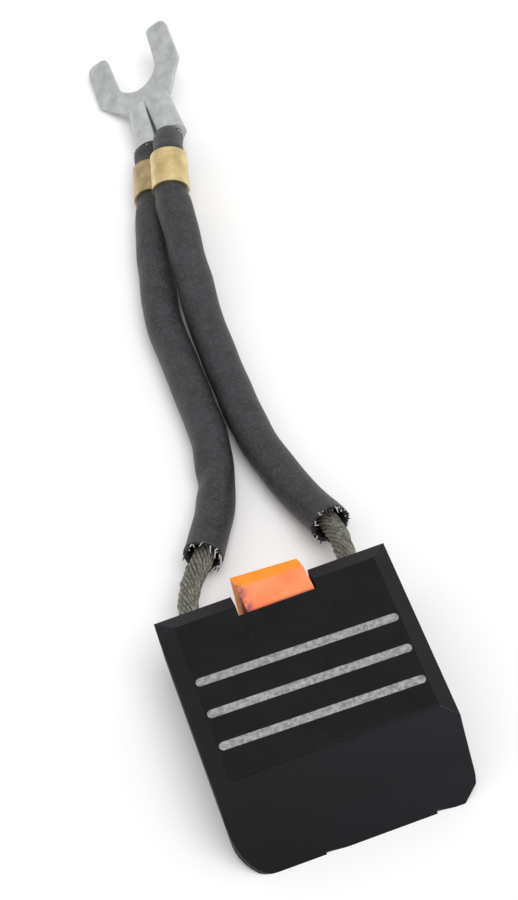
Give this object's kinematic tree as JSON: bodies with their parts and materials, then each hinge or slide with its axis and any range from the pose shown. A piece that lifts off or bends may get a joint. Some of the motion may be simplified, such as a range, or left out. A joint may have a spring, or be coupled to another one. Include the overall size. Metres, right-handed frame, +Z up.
{
  "type": "carbon brush",
  "caption": "Large carbon brush block with an insulated top pad, two sleeved flexible copper leads and a shared crimped fork terminal.",
  "frame": {"origin": "middle of the box round the block and its pad, on the surface that the brush lies on", "axes": "+Z up out of the block's front face, +Y from the block's contact end towards the terminal, +X across the block, along the commutator's axis"},
  "size_m": [0.0629, 0.26, 0.0254],
  "materials": {
    "carbon": "matte near-black electrographite, fine grain",
    "marking": "rough light grey marking filler",
    "pad": "matte orange moulded pad",
    "tamping": "packed dark metal powder",
    "rope": "tinned copper strands, dull",
    "sleeve": "varnished woven glass sleeve, charcoal",
    "band": "plain rolled brass strip, slightly tarnished",
    "terminal": "dull tin plate over copper sheet"
  },
  "bodies": {
    "root": {"carbon_block": "carbon", "wear_line_1": "marking", "wear_line_2": "marking", "wear_line_3": "marking", "pressure_pad": "pad", "tamping_left": "tamping", "tamping_right": "tamping", "shunt_left": "rope", "shunt_right": "rope", "sleeve_left": "sleeve", "sleeve_right": "sleeve", "band_left": "band", "band_right": "band", "fork_terminal": "terminal"}
  },
  "joints": []
}
